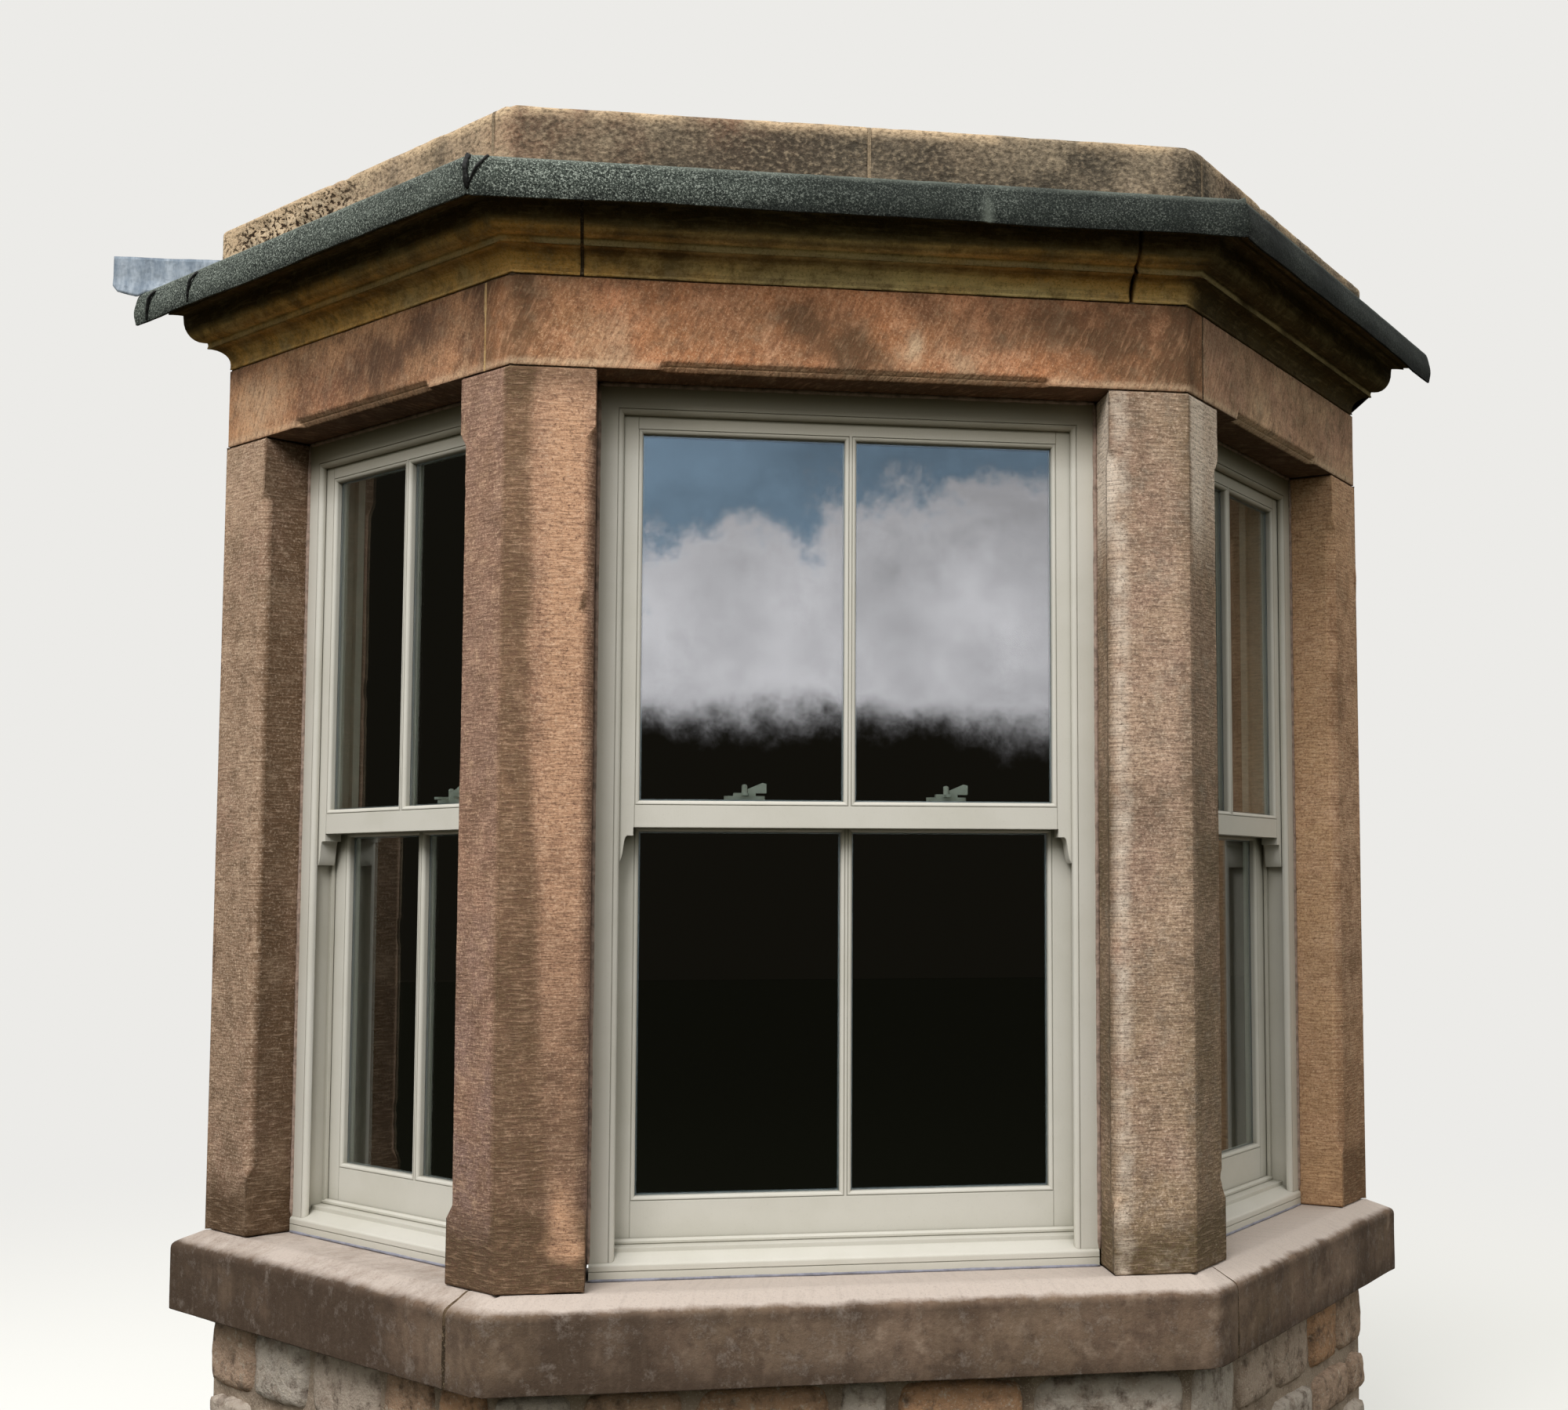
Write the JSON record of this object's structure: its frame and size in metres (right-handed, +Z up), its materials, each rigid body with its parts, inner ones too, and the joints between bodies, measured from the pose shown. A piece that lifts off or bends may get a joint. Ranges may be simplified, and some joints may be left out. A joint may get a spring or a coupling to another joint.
{
  "type": "canted stone bay window with three double hung sash windows",
  "caption": "Canted bay window in sandstone: rubble apron, sill, chamfered jambs and mullions, lintels, moulded cornice with felt apron, blocking course, flat roof and timber sash windows.",
  "frame": {"origin": "on the ground, at the middle of the bay's plan box; the house wall's face is at y 0.490 m", "axes": "+X along the house wall to the right as seen from outside, +Y into the house, +Z up"},
  "size_m": [3.0837, 0.98, 3.045],
  "materials": {
    "rubble": "matte",
    "dressed_sandstone": "matte",
    "tooled_sandstone": "matte",
    "weathered_sandstone": "matte",
    "mineral_felt": "matte",
    "lead": "satin",
    "sawn_timber": "matte",
    "plaster": "matte",
    "painted_timber": "satin",
    "window_glass": "polished",
    "cream_fittings": "gloss"
  },
  "bodies": {
    "root": {"apron_wall": "rubble", "blocking_front_left": "weathered_sandstone", "blocking_front_right": "weathered_sandstone", "blocking_left": "weathered_sandstone", "blocking_right": "weathered_sandstone", "box_frame_front": "painted_timber", "box_frame_left": "painted_timber", "box_frame_right": "painted_timber", "ceiling": "plaster", "cornice_centre": "weathered_sandstone", "cornice_felt": "mineral_felt", "cornice_left": "weathered_sandstone", "cornice_right": "weathered_sandstone", "glass_front": "window_glass", "glass_left": "window_glass", "glass_right": "window_glass", "jamb_left": "tooled_sandstone", "jamb_right": "tooled_sandstone", "lead_flashing": "lead", "lintel_front": "dressed_sandstone", "lintel_left": "dressed_sandstone", "lintel_right": "dressed_sandstone", "mullion_left": "tooled_sandstone", "mullion_right": "tooled_sandstone", "roof_boards": "sawn_timber", "roof_felt": "mineral_felt", "roof_joists": "sawn_timber", "sash_fasteners_front": "cream_fittings", "sash_fasteners_left": "cream_fittings", "sash_fasteners_right": "cream_fittings", "sash_lower_front": "painted_timber", "sash_lower_left": "painted_timber", "sash_lower_right": "painted_timber", "sash_upper_front": "painted_timber", "sash_upper_left": "painted_timber", "sash_upper_right": "painted_timber", "sill_front": "dressed_sandstone", "sill_left": "dressed_sandstone", "sill_right": "dressed_sandstone", "timber_sill_front": "painted_timber", "timber_sill_left": "painted_timber", "timber_sill_right": "painted_timber"}
  },
  "joints": []
}
